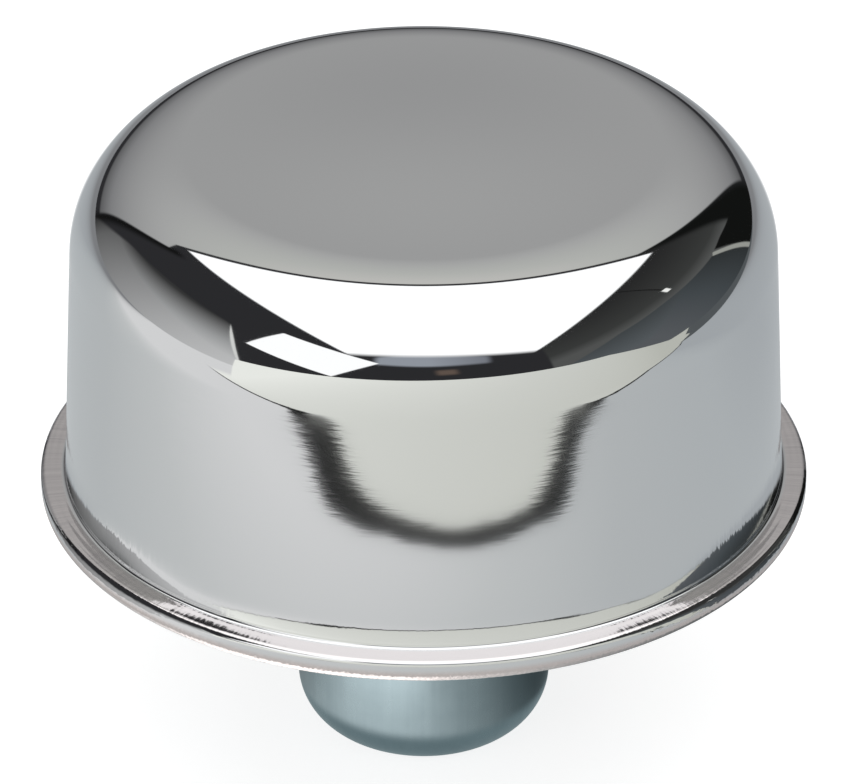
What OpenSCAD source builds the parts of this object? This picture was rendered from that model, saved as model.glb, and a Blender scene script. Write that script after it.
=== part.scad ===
// Push-in crankcase breather filter.
// A drawn, plated cap is rolled over the edge of a pierced base plate. A drawn neck stands through
// the plate. Inside, knitted wire rings are stacked round a pierced core, over a punched screen.
// The origin is the centre of the neck's lower end, and +Z points up through the cap.

/* [Cap] */
// Outside diameter of the rolled rim
rim_d = 76.2; // [72:0.1:90]
// Width of the rim, from its edge to the foot of the wall
ledge_w = 2.45; // [2.2:0.05:3.2]
// Height of the cap, from the underside of the rim to the crown
cap_h = 38.1; // [32:0.1:60]
// Rise of the crown above the top's own edge
crown_h = 0.4; // [0.1:0.05:1.5]
// Radius of the corner between wall and top
corner_r = 11.4; // [4:0.1:14]
// Lean of the wall, in degrees
wall_lean = 2.5; // [0.5:0.1:4]
// Thickness of the cap's sheet
cap_t = 0.8; // [0.6:0.05:1]
// Radius at the foot of the wall
foot_r = 0.4; // [0.2:0.05:0.8]
// Radius of the rim's upper edge
rim_top_r = 0.6; // [0.3:0.05:0.8]
// Radius of the rim's lower edge, where the sheet folds under
rim_low_r = 1.1; // [0.6:0.05:1.3]
// Width of the hem under the base plate
hem_w = 3.5; // [2:0.1:4.5]

/* [Base plate] */
// Thickness of the base plate
plate_t = 0.9; // [0.7:0.05:1.2]
// Number of air slots
slot_count = 10; // [6:1:12]
// Width of an air slot
slot_w = 4.4; // [2:0.1:5.5]
// Length of an air slot
slot_l = 11; // [7:0.5:13]
// Distance from the hem to the middle of the slots
slot_inset = 7.6; // [5:0.1:9]
// Distance from the neck to the middle of the pressed bead
bead_offset = 5.6; // [4.8:0.1:6.4]
// Width of the pressed bead
bead_w = 4; // [2.5:0.1:4.8]
// Depth of the pressed bead
bead_depth = 0.8; // [0.3:0.05:1.2]
// Height of the collar that hugs the neck
collar_h = 1.5; // [0.5:0.1:3]
// Thickness of that collar
collar_t = 0.7; // [0.5:0.05:1]

/* [Neck] */
// Outside diameter of the neck
neck_d = 25.4; // [24:0.1:28]
// Length of the neck below the rim
neck_drop = 27.3; // [20:0.1:40]
// Thickness of the neck's sheet
neck_t = 1; // [0.7:0.05:1.4]
// Outer radius of the neck's rounded end
neck_round_r = 5.75; // [3:0.05:6]
// Diameter of the neck's mouth
mouth_d = 12; // [8:0.5:12.4]
// Radius under the neck's own flange
neck_bend_r = 0.4; // [0.2:0.05:0.6]
// Depth of the shoulder that meets the plate's collar
neck_step = 0.4; // [0.2:0.05:0.6]

/* [Screen and packing] */
// Thickness of the punched screen
screen_t = 0.6; // [0.4:0.05:1]
// Diameter of the screen's holes
screen_hole_d = 2.8; // [1.5:0.1:3.4]
// Distance between neighbouring holes of the screen
screen_pitch = 5.2; // [4.6:0.1:8]
// Thickness of one rolled layer of knitted wire
layer_t = 1.8; // [1.4:0.1:3]
// Depth of the groove between two layers
layer_groove = 0.7; // [0.2:0.05:1]

/* [Core] */
// Distance from the neck to the inside of the core
core_offset = 2.2; // [2:0.1:4]
// Thickness of the core's sheet
core_t = 0.6; // [0.4:0.05:1]
// Diameter of the core's holes
core_hole_d = 3; // [1.5:0.1:4]
// Number of holes round the core, in each row
core_hole_count = 12; // [8:2:14]
// Number of rows of holes in the core
core_row_count = 6; // [3:1:7]

/* [Retainer and shield] */
// Distance from the start of the cap's corner to the edge of the top retainer
retainer_inset = 0.5; // [0.3:0.1:4]
// Depth of the cup that centres the core
retainer_cup_h = 3; // [1.5:0.1:5]
// Thickness of the top retainer
retainer_t = 0.6; // [0.4:0.05:1]
// Height of the drip shield's arms above the neck's flange
shield_h = 8; // [5:0.1:14]
// Amount by which the drip shield is smaller than the neck, in diameter
shield_inset = 2.4; // [1.6:0.1:6]
// Rise of the drip shield's cone
shield_rise = 2; // [0.5:0.1:4]
// Thickness of the drip shield
shield_t = 0.8; // [0.5:0.05:1.2]
// Width of each leg of the drip shield
leg_w = 6; // [3:0.1:8]
// Number of legs
leg_count = 3; // [3:1:4]

/* [Fits] */
// Clearance round the base plate's edge and the neck
sheet_gap = 0.05; // [0.02:0.01:0.15]
// Clearance of what is laid in loosely
loose_gap = 0.3; // [0.2:0.05:0.6]

/* [Hidden] */
$fn = 128;
hole_fn = 32;
// Reach of a cutting shape past what it cuts
over = 1;
chrome_colour = [0.80, 0.81, 0.82];
zinc_colour = [0.56, 0.62, 0.65];
steel_colour = [0.66, 0.66, 0.64];
wire_colour = [0.50, 0.50, 0.48];

// Levels, upwards from the neck's lower end
plate_z = neck_drop + cap_t;
collar_z = plate_z - collar_h;
plate_top = plate_z + plate_t;
ledge_z = plate_top + cap_t;
flange_top = plate_top + neck_t;
screen_top = plate_top + screen_t;
shoulder_z = neck_drop + cap_h - crown_h;
ceiling_z = shoulder_z - cap_t;
packing_top = ceiling_z - retainer_t;
packing_rings = 3;
ring_h = (packing_top - screen_top) / packing_rings;

// Radii, outwards from the axis
rim_r = rim_d / 2;
wall_r = rim_r - ledge_w;
plate_r = rim_r - cap_t - sheet_gap;
hem_r = rim_r - hem_w;
slot_ring_r = hem_r - slot_inset;
neck_r = neck_d / 2;
mouth_r = mouth_d / 2;
through_r = neck_r - neck_step;
plate_hole_r = through_r + sheet_gap;
bead_r = neck_r + bead_offset;
core_in_r = neck_r + core_offset;
core_out_r = core_in_r + core_t;
flange_r = core_out_r + loose_gap;
seat_r = flange_r + loose_gap;
shield_r = neck_r - shield_inset / 2;
leg_r = sqrt(pow(core_in_r - loose_gap, 2) - pow(leg_w / 2, 2));
neck_inner_bend_r = neck_bend_r + neck_t;

// Centre of the corner's arc, which meets both the leaning wall and the top
corner_z = shoulder_z - corner_r;
corner_x = wall_r - (corner_z - ledge_z) * tan(wall_lean) - corner_r / cos(wall_lean);

// Radius of the cap's wall at height z, set in by inset
function wall_x(z, inset) = wall_r - (z - ledge_z) * tan(wall_lean) - inset / cos(wall_lean);

// Point at which the wall runs into the corner's arc
function wall_end(inset) = [
    corner_x + (corner_r - inset) * cos(wall_lean),
    corner_z + (corner_r - inset) * sin(wall_lean)
];

// Points of the crown, from the top's edge to the axis, level at both ends
crown_steps = 10;
function crown_points(inset) = [
    for (i = [0 : crown_steps])
        let (share = i / crown_steps)
            [corner_x * (1 - share), shoulder_z - inset + crown_h * (1 - cos(180 * share)) / 2]
];

// Half section of the space within the cap, set in by inset from its outer face
module cap_space(inset, floor_z) {
    polygon(concat(
        [[0, floor_z], [wall_x(floor_z, inset), floor_z], wall_end(inset), [corner_x, corner_z]],
        crown_points(inset)
    ));
    translate([corner_x, corner_z])
        circle(corner_r - inset);
}

// A corner's offcut: a square of side r less the quarter circle in it, turned to its quadrant
module corner_offcut(r, turn) {
    rotate(turn)
        difference() {
            translate([-r, -r])
                square(r);
            circle(r);
        }
}

// Half section of the rolled rim, solid, with its two outer edges rounded
module rim_outline() {
    low_x = rim_r - rim_low_r;
    top_x = rim_r - rim_top_r;
    low_z = neck_drop + rim_low_r;
    top_z = ledge_z - rim_top_r;
    translate([hem_r, neck_drop])
        square([low_x - hem_r, ledge_z - neck_drop]);
    translate([low_x, low_z])
        square([rim_low_r, top_z - low_z]);
    translate([low_x, top_z])
        square([top_x - low_x, rim_top_r]);
    translate([low_x, low_z])
        circle(rim_low_r);
    translate([top_x, top_z])
        circle(rim_top_r);
}

// Cap, drawn in one piece with its ledge and the hem folded under the base plate
module cap_shell() {
    bend_x = wall_r + foot_r;
    bend_z = ledge_z + foot_r;
    color(chrome_colour)
        rotate_extrude()
            difference() {
                union() {
                    cap_space(0, plate_top);
                    rim_outline();
                    translate([bend_x, bend_z])
                        corner_offcut(foot_r, 0);
                }
                cap_space(cap_t, plate_top);
                translate([bend_x, bend_z])
                    corner_offcut(foot_r + cap_t, 0);
                translate([0, plate_z])
                    square([rim_r - cap_t, plate_t]);
            }
}

// Half section of the base plate's sheet, with its bead pressed downwards
module plate_section() {
    bead_in = bead_r - bead_w / 2;
    bead_out = bead_r + bead_w / 2;
    under = [
        [plate_hole_r, 0],
        [bead_in, 0],
        [bead_in + bead_depth, -bead_depth],
        [bead_out - bead_depth, -bead_depth],
        [bead_out, 0],
        [plate_r, 0]
    ];
    above = [for (i = [len(under) - 1 : -1 : 0]) under[i] + [0, plate_t]];
    translate([0, plate_z])
        polygon(concat(under, above));
}

// One air slot, an oblong with round ends
module air_slot() {
    straight = slot_l - slot_w;
    translate([slot_ring_r, 0, plate_z - over])
        linear_extrude(plate_t + 2 * over) {
            translate([-slot_w / 2, -straight / 2])
                square([slot_w, straight]);
            for (end = [-1, 1])
                translate([0, end * straight / 2])
                    circle(d = slot_w, $fn = hole_fn);
        }
}

// Base plate, held in the cap's hem, with a ring of air slots and a collar for the neck
module base_plate() {
    edge_r = neck_bend_r + sheet_gap;
    color(zinc_colour)
        difference() {
            rotate_extrude()
                difference() {
                    union() {
                        plate_section();
                        translate([plate_hole_r, collar_z])
                            square([collar_t, collar_h]);
                    }
                    translate([plate_hole_r + edge_r, plate_top - edge_r])
                        corner_offcut(edge_r, -90);
                }
            for (i = [0 : slot_count - 1])
                rotate(i * 360 / slot_count)
                    air_slot();
        }
}

// Neck, drawn in one piece: a flange on the base plate, a shoulder under the plate's collar,
// a straight tube and a rounded, pierced end
module neck() {
    round_x = neck_r - neck_round_r;
    bend_x = through_r + neck_bend_r;
    bend_z = plate_top - neck_bend_r;
    color(zinc_colour)
        rotate_extrude() {
            translate([neck_r - neck_t, neck_round_r])
                square([neck_t, collar_z - neck_round_r]);
            translate([through_r - neck_t, collar_z - neck_t])
                square([neck_t, bend_z - collar_z + neck_t]);
            translate([mouth_r, 0])
                square([round_x - mouth_r, neck_t]);
            translate([round_x, neck_round_r])
                intersection() {
                    difference() {
                        circle(neck_round_r);
                        circle(neck_round_r - neck_t);
                    }
                    translate([0, -neck_round_r])
                        square(neck_round_r);
                }
            translate([bend_x, bend_z])
                intersection() {
                    difference() {
                        circle(neck_inner_bend_r);
                        circle(neck_bend_r);
                    }
                    translate([-neck_inner_bend_r, 0])
                        square(neck_inner_bend_r);
                }
            translate([bend_x, plate_top])
                square([flange_r - bend_x, neck_t]);
        }
}

// Drip shield, a shallow cone on bent legs whose feet stand on the neck's flange
module drip_shield() {
    arm_x = shield_r - shield_t;
    foot_x = through_r + neck_bend_r + sheet_gap;
    arm_z = flange_top + shield_h;
    cone_z = arm_z + shield_rise;
    color(steel_colour) {
        rotate_extrude()
            polygon([
                [0, cone_z], [shield_r, arm_z],
                [shield_r, arm_z + shield_t], [0, cone_z + shield_t]
            ]);
        for (i = [0 : leg_count - 1])
            rotate(i * 360 / leg_count) {
                translate([arm_x, -leg_w / 2, arm_z])
                    cube([leg_r - arm_x, leg_w, shield_t]);
                translate([leg_r - shield_t, -leg_w / 2, flange_top])
                    cube([shield_t, leg_w, shield_h + shield_t]);
                translate([foot_x, -leg_w / 2, flange_top])
                    cube([leg_r - foot_x, leg_w, shield_t]);
            }
    }
}

// Punched screen on the base plate, with rings of holes at an even pitch
module support_screen() {
    out_r = wall_x(screen_top, cap_t) - loose_gap;
    margin = (screen_pitch + screen_hole_d) / 2;
    rings_in = floor((slot_ring_r - seat_r - margin) / screen_pitch);
    rings_out = floor((out_r - slot_ring_r - margin) / screen_pitch);
    color(steel_colour)
        translate([0, 0, plate_top])
            linear_extrude(screen_t)
                difference() {
                    circle(out_r);
                    circle(seat_r);
                    for (ring = [-rings_in : rings_out]) {
                        hole_ring_r = slot_ring_r + ring * screen_pitch;
                        count = floor(2 * PI * hole_ring_r / screen_pitch);
                        for (i = [0 : count - 1])
                            rotate(i * 360 / count)
                                translate([hole_ring_r, 0])
                                    circle(d = screen_hole_d, $fn = hole_fn);
                    }
                }
}

// One ring of knitted wire sleeve, rolled up and pressed: its layers show on both ends and outside
module knitted_ring(level) {
    low = screen_top + level * ring_h;
    high = low + ring_h;
    inset = cap_t + loose_gap;
    slope_r = wall_x(low, inset);
    half = layer_groove / 2;
    layers = floor((slope_r - seat_r) / layer_t) - 1;
    rows = floor(ring_h / layer_t) - 1;
    color(wire_colour)
        rotate_extrude()
            difference() {
                intersection() {
                    cap_space(inset, screen_top);
                    translate([seat_r, low])
                        square([rim_r, ring_h]);
                }
                for (i = [1 : layers])
                    for (end = [[low, 1], [high, -1]])
                        translate([seat_r + i * layer_t, end[0]])
                            polygon([[-half, 0], [half, 0], [0, end[1] * layer_groove]]);
                for (i = [1 : rows])
                    let (z = low + i * layer_t)
                        if (z + half < wall_end(inset)[1])
                            polygon([
                                [wall_x(z - half, inset), z - half],
                                [wall_x(z, inset) - layer_groove, z],
                                [wall_x(z + half, inset), z + half]
                            ]);
            }
}

module packing_lower() {
    knitted_ring(0);
}

module packing_middle() {
    knitted_ring(1);
}

module packing_upper() {
    knitted_ring(2);
}

// Core, a tube with staggered rows of holes, which stands on the neck's flange
module core_tube() {
    core_h = packing_top - flange_top;
    row_pitch = (core_h - retainer_cup_h) / core_row_count;
    first = (core_h - (core_row_count - 1) * row_pitch) / 2;
    step = 360 / core_hole_count;
    color(steel_colour)
        translate([0, 0, flange_top])
            difference() {
                cylinder(r = core_out_r, h = core_h);
                translate([0, 0, -over])
                    cylinder(r = core_in_r, h = core_h + 2 * over);
                for (row = [0 : core_row_count - 1])
                    for (i = [0 : core_hole_count - 1])
                        rotate((i + (row % 2) / 2) * step)
                            translate([core_in_r - over, 0, first + row * row_pitch])
                                rotate([0, 90, 0])
                                    cylinder(d = core_hole_d, h = core_t + 2 * over,
                                             $fn = hole_fn);
            }
}

// Top retainer, a pressed dish under the cap's top whose cup centres the core
module top_retainer() {
    cup_r = core_in_r - sheet_gap;
    edge_r = corner_x - retainer_inset;
    color(steel_colour)
        rotate_extrude() {
            translate([cup_r - retainer_t, packing_top])
                square([edge_r - cup_r + retainer_t, retainer_t]);
            translate([cup_r - retainer_t, packing_top - retainer_cup_h])
                square([retainer_t, retainer_cup_h]);
            translate([0, packing_top - retainer_cup_h])
                square([cup_r - retainer_t, retainer_t]);
        }
}

cap_shell();
base_plate();
neck();
drip_shield();
support_screen();
packing_lower();
packing_middle();
packing_upper();
core_tube();
top_retainer();
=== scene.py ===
import math

import bpy
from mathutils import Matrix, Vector


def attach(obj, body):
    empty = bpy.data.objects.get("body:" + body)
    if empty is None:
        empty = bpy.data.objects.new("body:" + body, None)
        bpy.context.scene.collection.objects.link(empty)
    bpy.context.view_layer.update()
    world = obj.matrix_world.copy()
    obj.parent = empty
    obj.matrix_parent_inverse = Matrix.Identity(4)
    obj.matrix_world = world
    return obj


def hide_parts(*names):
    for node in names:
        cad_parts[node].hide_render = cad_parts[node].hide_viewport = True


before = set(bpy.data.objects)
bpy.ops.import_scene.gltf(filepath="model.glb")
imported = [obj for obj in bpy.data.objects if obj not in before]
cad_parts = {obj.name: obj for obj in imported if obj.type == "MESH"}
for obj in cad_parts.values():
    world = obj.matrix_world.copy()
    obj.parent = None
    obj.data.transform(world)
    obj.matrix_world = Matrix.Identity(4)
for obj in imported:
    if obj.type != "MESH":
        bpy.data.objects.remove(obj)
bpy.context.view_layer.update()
view = bpy.context.scene.view_settings
view.view_transform = "Standard"
mm = 0.001
print("frame loaded:", len(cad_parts), "nodes")


def toLinear(hexColour, gain=1.0):
    # sRGB hex to the linear colour that a shader wants
    parts = [int(hexColour[i:i + 2], 16) / 255 for i in (0, 2, 4)]
    flat = [p / 12.92 if p <= 0.04045 else ((p + 0.055) / 1.055) ** 2.4 for p in parts]
    return (flat[0] * gain, flat[1] * gain, flat[2] * gain, 1.0)


def addNode(tree, kind, settings=None, inputs=None):
    # one node, its settings and its inputs: another node or a socket is linked, a value is typed in
    node = tree.nodes.new("ShaderNode" + kind)
    for key, value in (settings or {}).items():
        setattr(node, key, value)
    for socket, value in (inputs or {}).items():
        if isinstance(value, bpy.types.Node):
            value = value.outputs[0]
        if isinstance(value, bpy.types.NodeSocket):
            tree.links.new(value, node.inputs[socket])
        else:
            node.inputs[socket].default_value = value
    return node


# settings that many nodes share
multiply, add, subtract = {"operation": "MULTIPLY"}, {"operation": "ADD"}, {"operation": "SUBTRACT"}
multiplyAdd, scale = {"operation": "MULTIPLY_ADD"}, {"operation": "SCALE"}
length, dot = {"operation": "LENGTH"}, {"operation": "DOT_PRODUCT"}
smooth, colours = {"interpolation_type": "SMOOTHSTEP"}, {"data_type": "RGBA"}


def emptyMaterial(name):
    material = bpy.data.materials.new(name)
    material.use_nodes = True
    material.node_tree.nodes.clear()
    return material, material.node_tree


def deselectAll():
    if bpy.context.object and bpy.context.object.mode != "OBJECT":
        bpy.ops.object.mode_set(mode="OBJECT")
    bpy.ops.object.select_all(action="DESELECT")


def arcPoints(centre, radius, fromDeg, toDeg, steps):
    # points on an arc, angles counted from the outward direction, up is 90
    points = []
    for i in range(steps + 1):
        angle = math.radians(fromDeg + (toDeg - fromDeg) * i / steps)
        points.append((centre[0] + radius * math.cos(angle), centre[1] + radius * math.sin(angle)))
    return points


def traceLine(name, points):
    # one point, then the extrude tool from point to point
    deselectAll()
    bpy.ops.mesh.primitive_plane_add(size=0.001, location=points[0])
    piece = bpy.context.object
    piece.name = name
    bpy.ops.object.mode_set(mode="EDIT")
    bpy.ops.mesh.select_all(action="SELECT")
    bpy.ops.mesh.merge(type="CENTER")
    for before, here in zip(points, points[1:]):
        step = [here[k] - before[k] for k in range(3)]
        bpy.ops.mesh.extrude_vertices_move(TRANSFORM_OT_translate={"value": step})
    return piece


def turnPiece(name, section, steps, edgeAngle=35):
    # a half section in mm, drawn point by point and spun round the axis
    piece = traceLine(name, [(r * mm, 0, z * mm) for r, z in section])
    bpy.ops.mesh.select_all(action="SELECT")
    bpy.ops.mesh.spin(steps=steps, angle=2 * math.pi, center=(0, 0, 0), axis=(0, 0, 1))
    bpy.ops.mesh.select_all(action="SELECT")
    bpy.ops.mesh.remove_doubles(threshold=0.000002)
    bpy.ops.mesh.normals_make_consistent(inside=False)
    bpy.ops.object.mode_set(mode="OBJECT")
    bpy.ops.object.transform_apply(location=True, rotation=True, scale=True)
    bpy.ops.object.shade_smooth_by_angle(angle=math.radians(edgeAngle))
    print(name, "turned:", len(piece.data.polygons), "faces")
    return piece


cap = {
    "rim": 38.1, "rimFloor": 27.3, "ledge": 29.8, "shoulder": 65.0, "crownRise": 0.4,
    "wall": 35.65, "lean": 2.5, "corner": 11.4, "sheet": 0.8, "foot": 0.4,
    "rimTop": 0.6, "rimLow": 1.1, "hem": 34.6, "plateFrom": 28.1, "plateTo": 29.0,
    "turns": 256,
}


def capSection():
    # outer face from the crown to the hem, then the inner face back up to the crown
    lean = math.radians(cap["lean"])
    cornerZ = cap["shoulder"] - cap["corner"]
    cornerR = cap["wall"] - (cornerZ - cap["ledge"]) * math.tan(lean) - cap["corner"] / math.cos(lean)

    def wallR(z, inset):
        return cap["wall"] - (z - cap["ledge"]) * math.tan(lean) - inset / math.cos(lean)

    def crown(inset, count):
        points = []
        for i in range(count + 1):
            share = 1 - i / count
            rise = cap["crownRise"] * (1 - math.cos(math.pi * share)) / 2
            points.append((cornerR * (1 - share), cap["shoulder"] - inset + rise))
        return points

    def wall(inset, fromZ, toZ, count):
        # short steps at both ends keep the shading true where the wall meets an arc
        shares = [0.004, 0.012, 0.03] + [0.03 + 0.94 * i / count for i in range(1, count + 1)]
        shares += [0.988, 0.996]
        return [(wallR(fromZ + (toZ - fromZ) * s, inset), fromZ + (toZ - fromZ) * s) for s in shares]

    low = cap["ledge"] + cap["foot"]
    bend = (cap["wall"] + cap["foot"], low)
    rimTop = (cap["rim"] - cap["rimTop"], cap["ledge"] - cap["rimTop"])
    rimLow = (cap["rim"] - cap["rimLow"], cap["rimFloor"] + cap["rimLow"])
    section = crown(0, 24)
    section += arcPoints((cornerR, cornerZ), cap["corner"], 90, cap["lean"], 84)[1:]
    section += wall(0, section[-1][1], low, 12)
    section += arcPoints(bend, cap["foot"], 180, 270, 12)
    section += [(bend[0] + 0.04, cap["ledge"]), (bend[0] + 0.4, cap["ledge"])]
    section += [(rimTop[0] - 0.4, cap["ledge"]), (rimTop[0] - 0.04, cap["ledge"])]
    section += arcPoints(rimTop, cap["rimTop"], 90, 0, 14)
    section += [(cap["rim"], rimTop[1] - 0.03), (cap["rim"], rimLow[1] + 0.03)]
    section += arcPoints(rimLow, cap["rimLow"], 0, -90, 18)
    section += [(rimLow[0] - 0.05, cap["rimFloor"]), (cap["hem"] + 0.15, cap["rimFloor"])]
    section += arcPoints((cap["hem"] + 0.12, cap["rimFloor"] + 0.12), 0.12, 270, 180, 4)
    section += [(cap["hem"], cap["plateFrom"])]
    groove = cap["rim"] - cap["sheet"]
    section += [(groove, cap["plateFrom"]), (groove, cap["plateTo"]), (bend[0] + 0.04, cap["plateTo"])]
    section += arcPoints(bend, cap["foot"] + cap["sheet"], 270, 180, 8)
    inner = arcPoints((cornerR, cornerZ), cap["corner"] - cap["sheet"], cap["lean"], 90, 36)
    section += wall(cap["sheet"], low, inner[0][1], 8)
    section += inner
    section += list(reversed(crown(cap["sheet"], 12)))[1:]
    return section


capPiece = turnPiece("cap", capSection(), cap["turns"])
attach(capPiece, "root")
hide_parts("cap_shell")


neck = {
    "tube": 12.7, "sheet": 1.0, "round": 5.75, "mouth": 6.0, "step": 0.4, "stepZ": 26.6,
    "bend": 0.4, "plateTop": 29.0, "flange": 15.8, "turns": 192,
}


def neckSection():
    # from the mouth's outer edge round the whole sheet and back to it
    tube, sheet = neck["tube"], neck["sheet"]
    through = tube - neck["step"]
    roundEnd = (tube - neck["round"], neck["round"])
    bend = (through + neck["bend"], neck["plateTop"] - neck["bend"])
    section = [(neck["mouth"], 0.0), (roundEnd[0] - 0.05, 0.0)]
    section += arcPoints(roundEnd, neck["round"], -90, 0, 40)
    section += [(tube, neck["round"] + 0.05), (tube, 12), (tube, 20), (tube, neck["stepZ"] - 0.1)]
    section += arcPoints((tube - 0.15, neck["stepZ"] - 0.15), 0.15, 0, 90, 5)
    section += [(through, neck["stepZ"]), (through, bend[1])]
    section += arcPoints(bend, neck["bend"], 180, 90, 8)[1:]
    section += [(neck["flange"], neck["plateTop"]), (neck["flange"], neck["plateTop"] + sheet)]
    section += arcPoints(bend, neck["bend"] + sheet, 90, 180, 12)
    section += [(through - sheet, neck["stepZ"] - sheet), (tube - sheet, neck["stepZ"] - sheet)]
    section += [(tube - sheet, neck["round"] + 0.05)]
    section += arcPoints(roundEnd, neck["round"] - sheet, 0, -90, 24)
    section += [(neck["mouth"], sheet), (neck["mouth"], 0.0)]
    return section


neckPiece = turnPiece("neckTube", neckSection(), neck["turns"])
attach(neckPiece, "root")
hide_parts("neck")


def millimetres(tree):
    # object coordinates in mm, so that every scale below is a real size
    place = addNode(tree, "TexCoord")
    return addNode(tree, "VectorMath", scale, {0: place.outputs["Object"], "Scale": 1000.0})


def roundTheAxis(tree, place):
    # distance from the axis, and the directions out from it and round it
    flat = addNode(tree, "VectorMath", multiply, {0: place, 1: (1, 1, 0)})
    reach = addNode(tree, "VectorMath", length, {0: flat}).outputs["Value"]
    outward = addNode(tree, "VectorMath", {"operation": "NORMALIZE"}, {0: flat})
    around = addNode(tree, "VectorMath", {"operation": "CROSS_PRODUCT"}, {0: (0, 0, 1), 1: outward})
    return reach, outward, around


def bandMask(tree, value, low, high):
    # rises from 0 to 1 over the first pair of values and falls back over the second
    rise = addNode(tree, "MapRange", smooth, {"Value": value, "From Min": low[0], "From Max": low[1]})
    fall = addNode(tree, "MapRange", smooth, {"Value": value, "From Min": high[0], "From Max": high[1]})
    return addNode(tree, "Math", multiply, {0: rise, 1: fall})


def grainOf(tree, place, stretch, detail, mask):
    # noise about zero inside a mask, stretch gives its frequency per mm along x, y and z
    scaled = addNode(tree, "VectorMath", multiply, {0: place, 1: stretch})
    noise = addNode(tree, "TexNoise", inputs={
        "Vector": scaled, "Scale": 1.0, "Detail": detail, "Roughness": 0.6})
    centred = addNode(tree, "Math", subtract, {0: noise, 1: 0.5})
    return addNode(tree, "Math", multiply, {0: centred, 1: mask})


def tilt(tree, normal, direction, share, amount):
    # leans the normal towards a direction by share times amount
    push = addNode(tree, "Math", multiply, {0: share, 1: amount})
    push = addNode(tree, "VectorMath", scale, {0: direction, "Scale": push})
    return addNode(tree, "VectorMath", add, {0: normal, 1: push})


chrome = {
    "colour": "DCDDDE", "foldColour": "D9CFCC", "ledgeColour": "DDD8D8",
    "wallFrom": 30.3, "wallTo": 53.6,
    "mirrorRough": 0.025, "wallRough": 0.085, "ledgeRough": 0.10, "foldRough": 0.22,
    "grainLength": 2.4, "grainHeight": 0.07, "grainTilt": 0.13,
    "drawMark": 0.25, "drawMarkTilt": 0.14, "drawMarkRise": 0.05,
    "footTurn": 0.27, "sideTurn": 0.58, "ledgeTilt": 0.05, "ledgeRing": 0.7, "ledgeRingTilt": 0.07,
    "rimTurn": 0.6,
}


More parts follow.
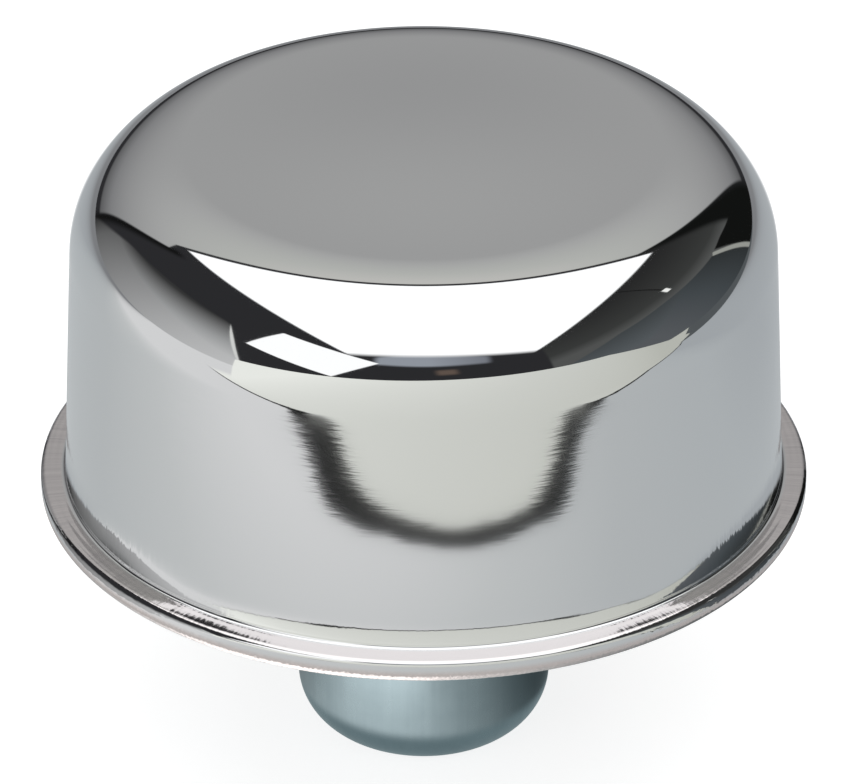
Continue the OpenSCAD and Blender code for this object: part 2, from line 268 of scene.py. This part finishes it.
def chromePlate():
    # decorative chrome over bright nickel on drawn steel: a mirror on top, satin from polishing
    # round the wall, upright draw marks at its foot, and a coarse skin where the rim is folded
    material, tree = emptyMaterial("chromePlatedSteel")
    place = millimetres(tree)
    height = addNode(tree, "SeparateXYZ", inputs={0: place}).outputs["Z"]
    reach, outward, around = roundTheAxis(tree, place)
    foot, top = chrome["wallFrom"], chrome["wallTo"]
    wall = bandMask(tree, height, (foot - 0.3, foot + 0.1), (top + 1.2, top - 0.8))
    lowWall = bandMask(tree, height, (foot - 0.3, foot), (foot + 2.8, foot))
    cove = addNode(tree, "Math", multiply, {0: lowWall, 1: lowWall})
    flat = bandMask(tree, height, (29.5, 29.75), (30.0, 29.85))
    outside = addNode(tree, "MapRange", smooth, {"Value": reach, "From Min": 35.9, "From Max": 36.2})
    ledge = addNode(tree, "Math", multiply, {0: flat, 1: outside})
    fold = bandMask(tree, height, (20, 21), (29.0, 28.3))
    outside = addNode(tree, "MapRange", smooth, {"Value": reach, "From Min": 33.5, "From Max": 34.5})
    fold = addNode(tree, "Math", multiply, {0: fold, 1: outside})
    side = bandMask(tree, height, (27.9, 29.2), (29.75, 29.5))
    outside = addNode(tree, "MapRange", smooth, {"Value": reach, "From Min": 37.4, "From Max": 37.7})
    side = addNode(tree, "Math", multiply, {0: side, 1: outside})
    facing = addNode(tree, "SeparateXYZ", inputs={0: outward}).outputs["Y"]
    facing = addNode(tree, "Math", {"operation": "ABSOLUTE"}, {0: facing})
    aside = addNode(tree, "MapRange", smooth, {"Value": facing, "From Min": 0.97, "From Max": 0.6})
    side = addNode(tree, "Math", multiply, {0: side, 1: aside})
    rings = addNode(tree, "Math", multiply, {0: reach, 1: 2 * math.pi / chrome["ledgeRing"]})
    rings = addNode(tree, "Math", {"operation": "SINE"}, {0: rings})
    rings = addNode(tree, "Math", multiply, {0: rings, 1: ledge})

    # the polish turns the face in short lying strokes, and upright ones at the foot
    lying = (1 / chrome["grainLength"], 1 / chrome["grainLength"], 1 / chrome["grainHeight"])
    upright = (1 / chrome["drawMark"], 1 / chrome["drawMark"], 1.0)
    ring = addNode(tree, "VectorMath", scale, {0: outward, "Scale": 36.0})
    ring = addNode(tree, "VectorMath", multiplyAdd, {0: place, 1: (0, 0, 0.10), 2: ring})
    normal = addNode(tree, "NewGeometry").outputs["Normal"]
    normal = tilt(tree, normal, around, grainOf(tree, place, lying, 3.0, wall), chrome["grainTilt"])
    normal = tilt(tree, normal, around, grainOf(tree, ring, upright, 2.0, lowWall), chrome["drawMarkTilt"])
    normal = tilt(tree, normal, (0, 0, 1), grainOf(tree, ring, upright, 2.0, lowWall), chrome["drawMarkRise"])
    normal = tilt(tree, normal, (0, 0, 1), cove, chrome["footTurn"])
    uneven = addNode(tree, "Math", add, {0: grainOf(tree, ring, upright, 2.0, 1.8), 1: height})
    flare = bandMask(tree, uneven, (foot - 0.6, foot), (foot + 4.4, foot + 0.9))
    aside = addNode(tree, "MapRange", smooth, {"Value": facing, "From Min": 0.84, "From Max": 0.5})
    flare = addNode(tree, "Math", multiply, {0: flare, 1: aside})
    flare = addNode(tree, "Math", multiply, {0: flare, 1: wall})
    normal = tilt(tree, normal, (0, 0, 1), flare, chrome["sideTurn"])
    normal = tilt(tree, normal, around, grainOf(tree, ring, upright, 2.0, ledge), 0.3)
    normal = tilt(tree, normal, outward, rings, chrome["ledgeRingTilt"])
    normal = tilt(tree, normal, outward, ledge, chrome["ledgeTilt"])
    normal = tilt(tree, normal, (0, 0, 1), side, chrome["rimTurn"])
    normal = tilt(tree, normal, (0, 0, 1), grainOf(tree, place, (1.2, 1.2, 5), 2.0, side), 0.5)
    peel = addNode(tree, "TexNoise", inputs={"Vector": place, "Scale": 3.4, "Detail": 1.5})
    peel = addNode(tree, "VectorMath", subtract, {0: peel.outputs["Color"], 1: (0.5, 0.5, 0.5)})
    normal = tilt(tree, normal, peel, fold, 0.55)
    normal = addNode(tree, "VectorMath", {"operation": "NORMALIZE"}, {0: normal})

    rough = addNode(tree, "Mix", inputs={0: wall, 2: chrome["mirrorRough"], 3: chrome["wallRough"]})
    rough = addNode(tree, "Mix", inputs={0: ledge, 2: rough, 3: chrome["ledgeRough"]})
    rough = addNode(tree, "Mix", inputs={0: fold, 2: rough, 3: chrome["foldRough"]})
    tint = addNode(tree, "Mix", colours, {
        0: fold, 6: toLinear(chrome["colour"]), 7: toLinear(chrome["foldColour"])})
    tint = addNode(tree, "Mix", colours, {
        0: ledge, 6: tint.outputs[2], 7: toLinear(chrome["ledgeColour"])})
    shader = addNode(tree, "BsdfPrincipled", inputs={
        "Base Color": tint.outputs[2], "Metallic": 1.0, "Roughness": rough,
        "Anisotropic": 0.9, "Tangent": around, "Normal": normal})
    addNode(tree, "OutputMaterial", inputs={"Surface": shader})
    return material


zinc = {"colour": "A1B0B4", "deepColour": "8F9EA3", "rough": 0.28, "cloud": 4.0, "mark": 0.5}


def zincPlate():
    # dull zinc plate on drawn steel: an even blue-grey satin, faint clouds and upright draw marks
    material, tree = emptyMaterial("zincPlatedSteel")
    place = millimetres(tree)
    clouds = addNode(tree, "TexNoise", inputs={
        "Vector": place, "Scale": 1 / zinc["cloud"], "Detail": 3.0, "Roughness": 0.55})
    marks = grainOf(tree, place, (1 / zinc["mark"], 1 / zinc["mark"], 0.05), 2.0, 0.5)
    share = addNode(tree, "Math", {"operation": "ADD", "use_clamp": True}, {0: marks, 1: clouds})
    tint = addNode(tree, "Mix", colours, {
        0: share, 6: toLinear(zinc["colour"]), 7: toLinear(zinc["deepColour"])})
    rough = addNode(tree, "MapRange", inputs={
        "Value": share, "To Min": zinc["rough"] - 0.05, "To Max": zinc["rough"] + 0.07})
    skin = addNode(tree, "TexNoise", inputs={"Vector": place, "Scale": 5.0, "Detail": 2.0})
    bump = addNode(tree, "Bump", inputs={"Strength": 0.25, "Distance": 0.00002, "Height": skin})
    shader = addNode(tree, "BsdfPrincipled", inputs={
        "Base Color": tint.outputs[2], "Metallic": 1.0, "Roughness": rough, "Normal": bump})
    addNode(tree, "OutputMaterial", inputs={"Surface": shader})
    return material


steel = {"colour": "B4B4B0", "deepColour": "8E8E8A", "rough": 0.34, "grain": 0.25}


def bareSteel():
    # cold rolled sheet, pressed and left bare: a dull grey with fine rolling lines along x
    material, tree = emptyMaterial("coldRolledSteel")
    place = millimetres(tree)
    lines = grainOf(tree, place, (0.08, 1 / steel["grain"], 1 / steel["grain"]), 3.0, 1.2)
    clouds = addNode(tree, "TexNoise", inputs={"Vector": place, "Scale": 0.3, "Detail": 3.0})
    share = addNode(tree, "Math", {"operation": "ADD", "use_clamp": True}, {0: lines, 1: clouds})
    tint = addNode(tree, "Mix", colours, {
        0: share, 6: toLinear(steel["colour"]), 7: toLinear(steel["deepColour"])})
    rough = addNode(tree, "MapRange", inputs={
        "Value": share, "To Min": steel["rough"] - 0.08, "To Max": steel["rough"] + 0.1})
    shader = addNode(tree, "BsdfPrincipled", inputs={
        "Base Color": tint.outputs[2], "Metallic": 1.0, "Roughness": rough})
    addNode(tree, "OutputMaterial", inputs={"Surface": shader})
    return material


wire = {"colour": "A8A69F", "gapShadeColour": "2C2B29", "pitch": 1.1, "wander": 2.0, "rough": 0.38}


def knittedWire():
    # a sleeve knitted from round steel wire, rolled up and pressed: two slanting rows of wire
    # cross, and the gaps between them are painted dark as shade. Drawn a little coarser than the real 0.25 mm
    # wire
    material, tree = emptyMaterial("knittedSteelWire")
    place = millimetres(tree)
    rows = []
    for turn in (0.8, -0.75):
        slanted = addNode(tree, "Mapping", inputs={0: place, "Rotation": (turn, turn * 0.7, turn)})
        wave = addNode(tree, "TexWave", inputs={
            "Vector": slanted, "Scale": 2 * math.pi / (20 * wire["pitch"]),
            "Distortion": wire["wander"], "Detail": 2.0, "Detail Scale": 1.5})
        rows.append(wave.outputs[1])
    top = addNode(tree, "Math", {"operation": "MAXIMUM"}, {0: rows[0], 1: rows[1]})
    metal = addNode(tree, "MapRange", smooth, {"Value": top, "From Min": 0.55, "From Max": 0.85})
    tint = addNode(tree, "Mix", colours, {
        0: metal, 6: toLinear(wire["gapShadeColour"]), 7: toLinear(wire["colour"])})
    bump = addNode(tree, "Bump", inputs={"Strength": 0.9, "Distance": 0.0003, "Height": top})
    shader = addNode(tree, "BsdfPrincipled", inputs={
        "Base Color": tint.outputs[2], "Metallic": 1.0, "Roughness": wire["rough"], "Normal": bump})
    addNode(tree, "OutputMaterial", inputs={"Surface": shader})
    return material


def dress(piece, material):
    if not piece.material_slots:
        piece.data.materials.append(material)
    for place in piece.material_slots:
        place.material = material


chromeMaterial = chromePlate()
zincMaterial = zincPlate()
steelMaterial = bareSteel()
wireMaterial = knittedWire()
dress(capPiece, chromeMaterial)
dress(neckPiece, zincMaterial)
dress(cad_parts["base_plate"], zincMaterial)
for name in ("drip_shield", "support_screen", "core_tube", "top_retainer"):
    dress(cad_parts[name], steelMaterial)
for name in ("packing_lower", "packing_middle", "packing_upper"):
    dress(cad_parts[name], wireMaterial)
print("materials on all pieces")


# Directions are (azimuth, elevation) in degrees: 0 is behind the part, 90 to its right, 180 at
# the camera. Colours are what the chrome shows of each card, gain takes its own loss back out.
# A card's ramps run from an edge inwards, and the darkest of them is the one that shows
studio = {
    "gain": 1.38, "dark": "2A2A2C",
    "softboxColour": "FFFFFF", "softboxLevel": 1.5,
    "softboxLeft": (-0.758, -0.0895), "softboxRight": (0.842, -0.145),
    "softboxFront": -1.27, "softboxBack": (0.385, 0.36), "softboxGap": 0.045,
    "cards": [
        ("grey wall, right", [(46, -3), (46, 60), (95, 62), (139, 50), (139, -3)], 0.02,
         [((62, 22), (122, 22), [(0.0, "505150"), (0.1, "383938"), (0.4, "282828")])]),
        ("black flag, right", [(30.5, -2), (46, 48), (49, 48), (47.5, 20), (45, -2)], 0.08,
         [((46, 48), (50, 48), [(0.0, "111211"), (0.5, "111211")])]),
        ("black flag, low right", [(40, -3), (40, 14.5), (46, 17.3), (53, 20.5), (60, 21.2), (49, -3)], 0.015,
         [((46, 48), (50, 48), [(0.0, "111211"), (0.5, "111211")])]),
        ("dim room, right", [(49.5, -3), (61.5, 20.8), (75, 23.6), (88, 25.4), (100, 24.8),
                             (117, 22), (126, 17), (139, 10), (141, -3)], 0.012,
         [((49.5, -3), (61.5, 20.8), [(0.0, "2C2F30"), (0.3, "414649"), (0.65, "54575A")]),
          ((62, 22), (122, 22), [(0.0, "3E4244"), (0.35, "585D60")])]),
        ("light edge, right", [(48.8, -1.5), (61.4, 21.5), (63, 20.6), (50.6, -1.5)], 0.01,
         [((48.8, -1.5), (61.4, 21.5), [(0.0, "94958F"), (0.5, "94958F")])]),
        ("stand pole", [(87.6, 50), (88.3, 50), (84.6, 29.5), (83.9, 29.5)], 0.004,
         [((87.6, 50), (88.3, 50), [(0.0, "141414"), (0.5, "141414")])]),
        ("stand knob", [(83.2, 32), (85.6, 32.5), (85.4, 29.5), (83.2, 29.2)], 0.008,
         [((83.2, 32), (85.6, 32.5), [(0.0, "F0F0EC"), (0.5, "F0F0EC")])]),
        ("black flag, left", [(-39.5, -1), (-56.8, 42), (-61, 42), (-42.5, -1)], 0.06,
         [((-39.5, -1), (-56.8, 42), [(0.0, "121212"), (0.5, "121212")])]),
        ("grey card, left", [(-40, -3), (-41, 0), (-58, 21.5), (-65, 25.5), (-83, 31.3), (-95, 32),
                             (-107, 32), (-110.5, 30), (-116, 20.5), (-121.5, 5.7), (-122.5, -3)], 0.03,
         [((-65, 25), (-105, 31.5), [(0.0, "343434"), (0.1, "6A6A6A"), (0.25, "989999"),
                                     (0.45, "BBBBBB")]),
          ((-40.5, 0), (-56.5, 40.5), [(0.0, "1C1C1C"), (0.11, "5F5F5F"), (0.5, "909090"),
                                       (0.95, "BBBBBB")])]),
        ("light edge, left", [(-110, 30.5), (-113.2, 26), (-116.3, 20.3), (-119.5, 12), (-121.6, 5),
                              (-120.8, 5), (-112.3, 25.5)], 0.006,
         [((-110, 30.5), (-113.2, 26), [(0.0, "CFD0CD"), (0.5, "CFD0CD")])]),
        ("blue-grey strip, front", [(-163.5, 35), (-164, 28.5), (180, 28), (158, 28.5),
                                    (157.5, 34.5), (165, 37), (180, 38.5), (-170, 38)], 0.05,
         [((158, 28.5), (157.5, 34.5), [(0.0, "72757D"), (0.3, "8F949C")])]),
        ("brown patch, front", [(176, 24.5), (169.5, 25), (169, 20.5), (175.5, 20)], 0.05,
         [((176, 24.5), (169.5, 25), [(0.0, "5E5149"), (0.3, "5E5149")])]),
        ("white panel, left", [(-127, 40), (-120.3, 21.7), (-151.3, 12.5), (-165, 29.5)], 0.01,
         [((-127, 40), (-120.3, 21.7), [(0.0, "FFFFFF"), (0.5, "FFFFFF")])]),
    ],
    "backdropLeft": [(-40, 0), (-51.3, 30.4)], "backdropRight": [(46, 46.5), (30.5, 0)],
    "backdropFrom": 0.056,
    "backdropStops": [(0.056, "575758"), (0.2, "7C7C7D"), (0.35, "8D8D8D"), (0.6, "A2A2A1"),
                      (0.8, "AFB0AC"), (0.9, "BAB9B5")],
}


def aim(azimuth, elevation):
    a, e = math.radians(azimuth), math.radians(elevation)
    return Vector((math.cos(e) * math.sin(a), math.cos(e) * math.cos(a), math.sin(e)))


def besideEdge(tree, ray, fromCorner, toCorner, inner, soft):
    # how far the ray lies inside the straight edge between two directions, and a mask of it
    side = aim(*fromCorner).cross(aim(*toCorner)).normalized()
    if side.dot(inner) < 0:
        side = -side
    reach = addNode(tree, "VectorMath", dot, {0: ray, 1: side}).outputs["Value"]
    mask = addNode(tree, "MapRange", smooth, {
        "Value": reach, "From Min": -soft / 2, "From Max": soft / 2})
    return mask, reach


def colourStops(tree, value, stops, gain):
    # a ramp from sRGB stops
    low, high = stops[0][0], stops[-1][0]
    share = addNode(tree, "MapRange", inputs={"Value": value, "From Min": low, "From Max": high})
    ramp = addNode(tree, "ValToRGB", inputs={0: share})
    parts = ramp.color_ramp.elements
    while len(parts) < len(stops):
        parts.new(0.5)
    for part, (place, colour) in zip(parts, stops):
        part.position = (place - low) / (high - low)
        part.color = toLinear(colour, gain)
    return ramp


def buildWorld():
    world = bpy.data.worlds.new("studio")
    bpy.context.scene.world = world
    world.use_nodes = True
    tree = world.node_tree
    tree.nodes.clear()
    ray = addNode(tree, "TexCoord").outputs["Generated"]
    split = addNode(tree, "SeparateXYZ", inputs={0: ray})
    height = split.outputs["Z"]
    safe = addNode(tree, "Math", {"operation": "MAXIMUM"}, {0: height, 1: 0.02})
    across = addNode(tree, "Math", {"operation": "DIVIDE"}, {0: split.outputs["X"], 1: safe})
    along = addNode(tree, "Math", {"operation": "DIVIDE"}, {0: split.outputs["Y"], 1: safe})
    gain = studio["gain"]
    colour = addNode(tree, "RGB").outputs[0]
    colour.default_value = toLinear(studio["dark"], gain)

    for name, corners, soft, ramps in studio["cards"]:
        middle = sum((aim(*corner) for corner in corners), Vector()).normalized()
        mask = 1.0
        for here, after in zip(corners, corners[1:] + corners[:1]):
            part = besideEdge(tree, ray, here, after, middle, soft)[0]
            mask = addNode(tree, "Math", multiply, {0: mask, 1: part})
        tones = [colourStops(tree, besideEdge(tree, ray, here, after, middle, soft)[1], stops, gain)
                 for here, after, stops in ramps]
        if len(tones) == 2:
            tones = [addNode(tree, "Mix", {"data_type": "RGBA", "blend_type": "DARKEN"}, {
                0: 1.0, 6: tones[0], 7: tones[1]}).outputs[2]]
        colour = addNode(tree, "Mix", colours, {0: mask, 6: colour, 7: tones[0]}).outputs[2]

    # the gap between backdrop and softbox bulges towards the camera in the middle
    bulge = addNode(tree, "Math", multiply, {0: across, 1: across})
    bulge = addNode(tree, "Math", {"operation": "MINIMUM"}, {0: bulge, 1: 0.8})
    bulge = addNode(tree, "Math", multiplyAdd, {
        0: bulge, 1: studio["softboxBack"][1], 2: studio["softboxBack"][0]})
    behind = addNode(tree, "Math", subtract, {0: along, 1: bulge})
    gap, low = studio["softboxGap"], studio["backdropFrom"]
    mask = addNode(tree, "MapRange", smooth, {
        "Value": behind, "From Min": gap - 0.01, "From Max": gap + 0.01})
    for edge in ("backdropLeft", "backdropRight"):
        here, after = studio[edge]
        part = besideEdge(tree, ray, here, after, aim(0, 25), 0.02)[0]
        mask = addNode(tree, "Math", multiply, {0: mask, 1: part})
    part = addNode(tree, "MapRange", smooth, {
        "Value": height, "From Min": low - 0.015, "From Max": low + 0.015})
    mask = addNode(tree, "Math", multiply, {0: mask, 1: part})
    tone = colourStops(tree, height, studio["backdropStops"], gain)
    colour = addNode(tree, "Mix", colours, {0: mask, 6: colour, 7: tone}).outputs[2]

    mask = addNode(tree, "MapRange", smooth, {"Value": behind, "From Min": 0.008, "From Max": -0.012})
    for edge, sign in (("softboxLeft", 1), ("softboxRight", -1)):
        start, slope = studio[edge]
        inside = addNode(tree, "Math", multiplyAdd, {0: along, 1: -slope * sign, 2: -start * sign})
        inside = addNode(tree, "Math", multiplyAdd, {0: across, 1: sign, 2: inside})
        part = addNode(tree, "MapRange", smooth, {"Value": inside, "From Min": -0.01, "From Max": 0.02})
        mask = addNode(tree, "Math", multiply, {0: mask, 1: part})
    front = studio["softboxFront"]
    for value, low, high in ((along, front - 0.1, front + 0.1), (height, 0.1, 0.2)):
        part = addNode(tree, "MapRange", smooth, {"Value": value, "From Min": low, "From Max": high})
        mask = addNode(tree, "Math", multiply, {0: mask, 1: part})
    white = toLinear(studio["softboxColour"], studio["softboxLevel"])
    colour = addNode(tree, "Mix", colours, {0: mask, 6: colour, 7: white}).outputs[2]

    lit = addNode(tree, "Background", inputs={"Color": colour, "Strength": 1.0})
    white = addNode(tree, "Background", inputs={"Color": (1, 1, 1, 1), "Strength": 1.0})
    seen = addNode(tree, "LightPath").outputs["Is Camera Ray"]
    both = addNode(tree, "MixShader", inputs={0: seen, 1: lit, 2: white})
    addNode(tree, "OutputWorld", inputs={"Surface": both})


buildWorld()
print("studio lit")


# what the metal sees of the table, a painted reflection with its light and shade painted in. Places are in mm
# from the part's foot, y away from the camera
table = {
    "size": 12.0, "albedo": "AFAFAF", "lift": 0.84,
    "tones": [(-100, "9FA3A6"), (-60, "A9ADAF"), (20, "AFB2B3"), (75, "BCBEBE"), (126, "D0D0D0")],
    "rearTone": "7A7B7D", "rearFrom": 60, "rearTo": 760,
    "poolLightTone": "FFFFFF", "poolLightPlace": (0, 230), "poolLightSize": (75, 150), "poolLightGain": 1.4,
    "nearLightAndShade": [(-0.5, "4A5153"), (-0.1, "6A7173"), (0.5, "A9AEAF"), (1.0, "ECEEEE")],
    "contactShadowTone": "889497", "farRightTone": "505456",
    "gapShadeTone": "1C1C1C",
    "gapOuter": [(-400, -171.1), (-245, -143.1), (-160, -129.1), (-110, -122.1), (-88, -122.7),
                 (-78, -124.7), (-70, -129.7), (-61, -133.2), (-53, -129.7), (-44, -125.7),
                 (-32, -124.5), (-20, -124.5), (0, -123.4), (17, -120.5), (34, -117.5),
                 (50, -112.4), (60, -108.7), (68, -107.7), (76, -107.2), (85, -110.7),
                 (92, -111.2), (98, -106.7), (104, -100.7), (111, -93.8), (125, -88.6),
                 (150, -88.1), (217, -88.1), (312, -70.1), (400, -58.1)],
    "gapInner": [(-400, -166.4), (-245, -138.4), (-160, -124.4), (-110, -117.4), (-88, -115.3),
                 (-78, -116.3), (-70, -115.1), (-61, -112.6), (-53, -111.7), (-44, -113.8),
                 (-32, -116), (-20, -118.5), (0, -118.2), (17, -115.8), (34, -111.9),
                 (50, -106.8), (60, -103), (68, -97.8), (76, -94.3), (85, -95.8), (92, -98.3),
                 (98, -97.6), (104, -94.8), (111, -89.1), (125, -83.9), (150, -83.4),
                 (217, -83.4), (312, -65.4), (400, -53.4)],
    "boardPaintedLight": [(-150, "E7E8E2"), (0, "D7D8D2"), (126, "CBCCC6"), (450, "B4B5AD")],
    "board": [(-295, -184.2, 0.4), (680, -28.2, 0.4), (680, -33.5, 8), (250, -167, 105),
              (-451, -279.2, 105)],
}


def curveAcross(tree, x, points):
    # y of a drawn line at this x, all in mm
    share = addNode(tree, "MapRange", inputs={"Value": x, "From Min": -400, "From Max": 400})
    curve = addNode(tree, "FloatCurve", inputs={"Value": share})
    line = curve.mapping.curves[0].points
    while len(line) < len(points):
        line.new(0.5, 0.5)
    for spot, (across, along) in zip(line, points):
        spot.location = ((across + 400) / 800, (along + 200) / 200)
        spot.handle_type = "VECTOR"
    curve.mapping.update()
    return addNode(tree, "Math", multiplyAdd, {0: curve, 1: 200.0, 2: -200.0})


def tablePaper():
    # white studio paper. Seen by the camera it is lifted to white and keeps the shadow;
    # seen in the metal it glows with painted light and shade, the tones that the real table shows there
    material, tree = emptyMaterial("whitePaperPaintedReflection")
    place = millimetres(tree)
    split = addNode(tree, "SeparateXYZ", inputs={0: place})
    x, y = split.outputs["X"], split.outputs["Y"]
    reach = addNode(tree, "VectorMath", length, {0: place}).outputs["Value"]
    gain = studio["gain"]

    slant = addNode(tree, "VectorMath", dot, {0: place, 1: (-0.45, -0.89, 0)}).outputs["Value"]
    tone = colourStops(tree, slant, table["tones"], gain)
    part = addNode(tree, "MapRange", smooth, {
        "Value": y, "From Min": table["rearFrom"], "From Max": table["rearTo"]})
    tone = addNode(tree, "Mix", colours, {
        0: part, 6: tone, 7: toLinear(table["rearTone"], gain)}).outputs[2]
    # a painted pool of light on the table behind the part
    hot = addNode(tree, "VectorMath", subtract, {0: place, 1: (*table["poolLightPlace"], 0)})
    hot = addNode(tree, "VectorMath", {"operation": "DIVIDE"}, {0: hot, 1: (*table["poolLightSize"], 1)})
    hot = addNode(tree, "VectorMath", length, {0: hot}).outputs["Value"]
    part = addNode(tree, "MapRange", smooth, {"Value": hot, "From Min": 1.25, "From Max": 0.8})
    tone = addNode(tree, "Mix", colours, {
        0: part, 6: tone, 7: toLinear(table["poolLightTone"], table["poolLightGain"])}).outputs[2]
    slant = addNode(tree, "VectorMath", dot, {0: place, 1: (1, -0.8, 0)}).outputs["Value"]
    part = addNode(tree, "MapRange", smooth, {"Value": slant, "From Min": 515, "From Max": 527})
    tone = addNode(tree, "Mix", colours, {
        0: part, 6: tone, 7: toLinear(table["farRightTone"], gain)}).outputs[2]

    # close to the neck: painted light and shade, bright at the front left and dim at the right, with a
    # painted highlight band and a painted contact shadow in the last few mm
    towards = addNode(tree, "VectorMath", {"operation": "NORMALIZE"}, {0: place})
    slant = addNode(tree, "VectorMath", dot, {0: towards, 1: (-0.5, -0.87, 0)}).outputs["Value"]
    near = colourStops(tree, slant, table["nearLightAndShade"], gain)
    # a painted highlight band a little way out from the neck
    band = bandMask(tree, reach, (15, 19), (25, 36))
    part = addNode(tree, "MapRange", smooth, {
        "Value": slant, "From Min": 0.75, "From Max": 1.0, "To Max": 0.9})
    part = addNode(tree, "Math", multiply, {0: part, 1: band})
    near = addNode(tree, "Mix", colours, {0: part, 6: near, 7: (2.2, 2.2, 2.2, 1)}).outputs[2]
    # a painted contact shadow right beside the neck
    part = addNode(tree, "MapRange", smooth, {"Value": reach, "From Min": 19, "From Max": 14})
    near = addNode(tree, "Mix", colours, {
        0: part, 6: near, 7: toLinear(table["contactShadowTone"], gain)}).outputs[2]
    part = addNode(tree, "MapRange", smooth, {"Value": reach, "From Min": 66, "From Max": 46})
    tone = addNode(tree, "Mix", colours, {0: part, 6: tone, 7: near}).outputs[2]

    # the dark gap before the board is painted shade, and the board's own foot lies beyond it
    outer = addNode(tree, "Math", subtract, {0: curveAcross(tree, x, table["gapOuter"]), 1: y})
    inner = addNode(tree, "Math", subtract, {0: y, 1: curveAcross(tree, x, table["gapInner"])})
    off = addNode(tree, "Math", {"operation": "MAXIMUM"}, {0: outer, 1: inner})
    ended = addNode(tree, "MapRange", smooth, {"Value": x, "From Min": -420, "From Max": -250})
    foot = addNode(tree, "MapRange", smooth, {"Value": outer, "From Min": -0.5, "From Max": 0.5})
    foot = addNode(tree, "Math", multiply, {0: foot, 1: ended})
    gap = addNode(tree, "MapRange", smooth, {"Value": off, "From Min": 0.5, "From Max": -0.5})
    gap = addNode(tree, "Math", multiply, {0: gap, 1: ended})
    low = addNode(tree, "Math", add, {0: x, 1: 126.0})
    tone = addNode(tree, "Mix", colours, {
        0: foot, 6: tone, 7: colourStops(tree, low, table["boardPaintedLight"], gain)}).outputs[2]
    tone = addNode(tree, "Mix", colours, {
        0: gap, 6: tone, 7: toLinear(table["gapShadeTone"], gain)}).outputs[2]

    seen = addNode(tree, "LightPath")
    paper = addNode(tree, "BsdfDiffuse", inputs={"Color": toLinear(table["albedo"])})
    lift = addNode(tree, "Math", multiply, {0: seen.outputs["Is Camera Ray"], 1: table["lift"]})
    lift = addNode(tree, "Emission", inputs={"Color": (1, 1, 1, 1), "Strength": lift})
    paper = addNode(tree, "AddShader", inputs={0: paper, 1: lift})
    mirrored = addNode(tree, "Emission", inputs={"Color": tone, "Strength": 1.0})
    both = addNode(tree, "MixShader", inputs={
        0: seen.outputs["Is Glossy Ray"], 1: paper, 2: mirrored})
    addNode(tree, "OutputMaterial", inputs={"Surface": both})
    return material


deselectAll()
bpy.ops.mesh.primitive_plane_add(size=table["size"], location=(0, 0, 0))
paperFloor = bpy.context.object
paperFloor.name = "floor"
dress(paperFloor, tablePaper())


def boardMaterial():
    # an off-white board that glows with painted light though it is no lamp, with painted shade making it a
    # little darker at its foot and to the right
    material, tree = emptyMaterial("offWhiteBoardGlow")
    place = millimetres(tree)
    slant = addNode(tree, "VectorMath", dot, {0: place, 1: (1, 0, -1.2)}).outputs["Value"]
    slant = addNode(tree, "Math", add, {0: slant, 1: 126.0})
    tone = colourStops(tree, slant, table["boardPaintedLight"], studio["gain"])
    light = addNode(tree, "Emission", inputs={"Color": tone, "Strength": 1.0})
    addNode(tree, "OutputMaterial", inputs={"Surface": light})
    return material


# only the metal sees this board: it is out of the camera's view and throws no light or shadow
board = traceLine("frontBoard", [tuple(value * mm for value in corner) for corner in table["board"]])
bpy.ops.mesh.select_all(action="SELECT")
bpy.ops.mesh.edge_face_add()
bpy.ops.object.mode_set(mode="OBJECT")
bpy.ops.object.transform_apply(location=True, rotation=True, scale=True)
dress(board, boardMaterial())
board.visible_camera = False
board.visible_diffuse = False
board.visible_shadow = False
print("table and board laid")


cameraSet = {
    "target": (0, 0, 0.03736), "elevation": 29.9, "distance": 0.6195, "pixels": 6257.0,
    "shift": 0.0015,
}
target = Vector(cameraSet["target"])
up = math.radians(cameraSet["elevation"])
cameraData = bpy.data.cameras.new("camera")
cameraData.sensor_width = 36.0
cameraData.lens = 36.0 * cameraSet["pixels"] / 850
cameraData.shift_x = cameraSet["shift"]
cameraData.clip_start = 0.01
camera = bpy.data.objects.new("camera", cameraData)
bpy.context.scene.collection.objects.link(camera)
camera.location = target + Vector((0, -math.cos(up), math.sin(up))) * cameraSet["distance"]
camera.rotation_euler = (target - camera.location).to_track_quat("-Z", "Y").to_euler()
bpy.context.scene.camera = camera
print("camera set, lens", round(cameraData.lens, 1))
